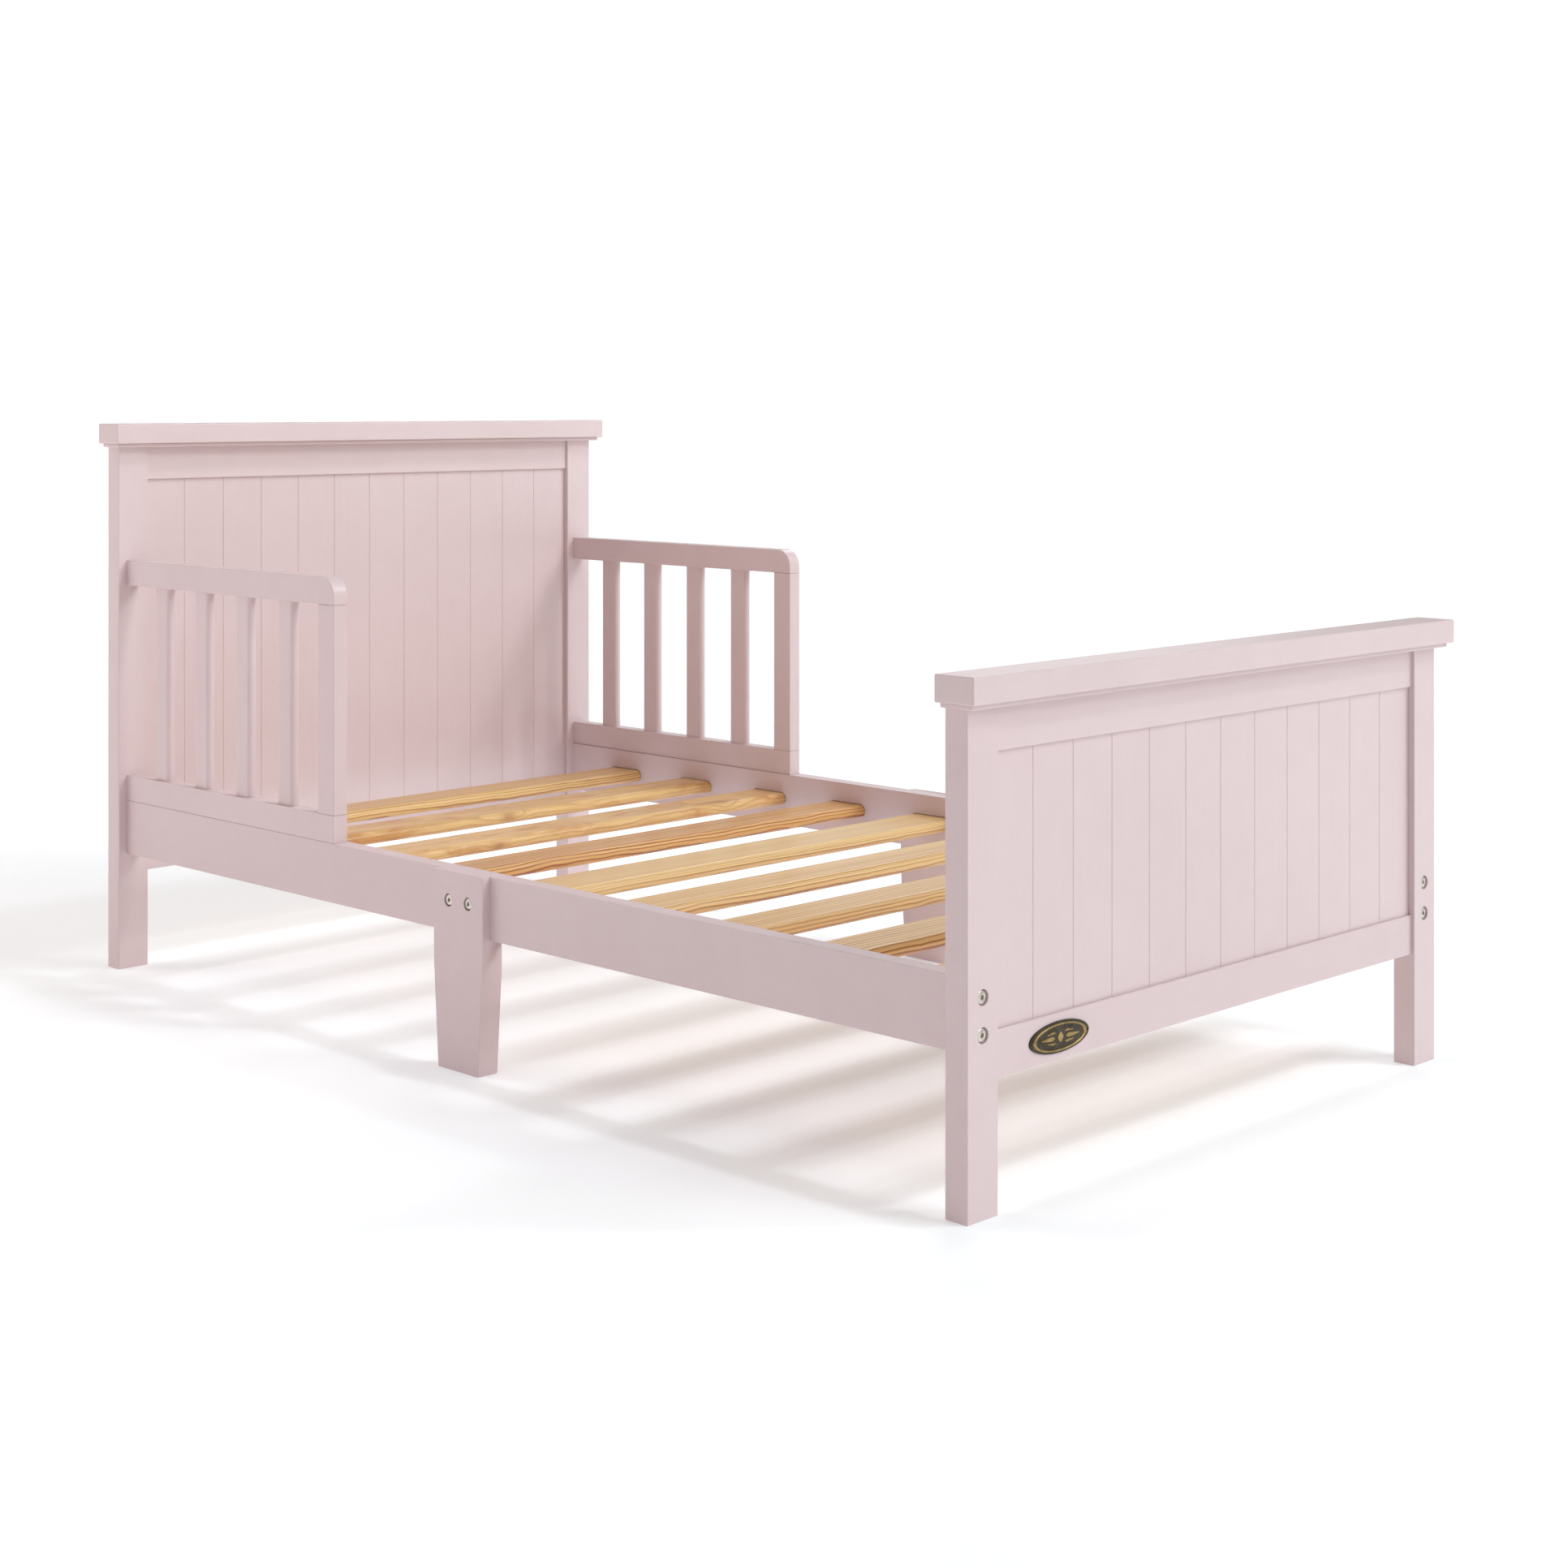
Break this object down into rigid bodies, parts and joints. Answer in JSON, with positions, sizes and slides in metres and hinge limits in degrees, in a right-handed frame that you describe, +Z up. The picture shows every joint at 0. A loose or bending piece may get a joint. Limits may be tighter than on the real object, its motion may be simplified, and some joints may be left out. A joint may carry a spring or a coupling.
{
  "type": "toddler bed",
  "caption": "Low wooden toddler bed with panelled head and foot boards under flat caps, half-length spindled guard rails, tapered center legs and a slatted base.",
  "frame": {"origin": "on the floor, in the middle of the bed's whole outline", "axes": "+Z up, +Y towards the headboard along the bed's length, +X to the right of someone at the foot who looks towards the headboard"},
  "size_m": [0.784, 1.4084, 0.6693],
  "materials": {
    "pink_paint": "satin pale pink paint on solid wood and board",
    "natural_pine": "clear satin lacquer on pine",
    "dowel_beech": "raw beech",
    "bolt_steel": "bright nickel-plated steel",
    "insert_zinc": "zinc-plated steel",
    "antique_bronze": "antique bronze",
    "dark_pin": "dark antique bronze"
  },
  "bodies": {
    "root": {"headboard_left_post": "pink_paint", "headboard_right_post": "pink_paint", "headboard_top_rail": "pink_paint", "headboard_bottom_rail": "pink_paint", "headboard_panel": "pink_paint", "headboard_cap_molding": "pink_paint", "headboard_cap": "pink_paint", "footboard_left_post": "pink_paint", "footboard_right_post": "pink_paint", "footboard_top_rail": "pink_paint", "footboard_bottom_rail": "pink_paint", "footboard_panel": "pink_paint", "footboard_cap_molding": "pink_paint", "footboard_cap": "pink_paint", "left_side_rail": "pink_paint", "right_side_rail": "pink_paint", "left_center_leg": "pink_paint", "right_center_leg": "pink_paint", "slat_1": "natural_pine", "slat_2": "natural_pine", "slat_3": "natural_pine", "slat_4": "natural_pine", "slat_5": "natural_pine", "slat_6": "natural_pine", "slat_7": "natural_pine", "slat_8": "natural_pine", "slat_9": "natural_pine", "left_guard_top_rail": "pink_paint", "left_guard_bottom_rail": "pink_paint", "left_guard_end_post": "pink_paint", "left_guard_spindle_1": "pink_paint", "left_guard_spindle_2": "pink_paint", "left_guard_spindle_3": "pink_paint", "left_guard_spindle_4": "pink_paint", "right_guard_top_rail": "pink_paint", "right_guard_bottom_rail": "pink_paint", "right_guard_end_post": "pink_paint", "right_guard_spindle_1": "pink_paint", "right_guard_spindle_2": "pink_paint", "right_guard_spindle_3": "pink_paint", "right_guard_spindle_4": "pink_paint", "headboard_bolts": "bolt_steel", "footboard_bolts": "bolt_steel", "center_leg_bolts": "bolt_steel", "guard_rail_bolts": "bolt_steel", "side_rail_inserts": "insert_zinc", "center_leg_inserts": "insert_zinc", "guard_rail_inserts": "insert_zinc", "headboard_cap_dowels": "dowel_beech", "footboard_cap_dowels": "dowel_beech", "guard_rail_dowels": "dowel_beech", "name_plate": "antique_bronze", "name_plate_pins": "dark_pin"}
  },
  "joints": []
}
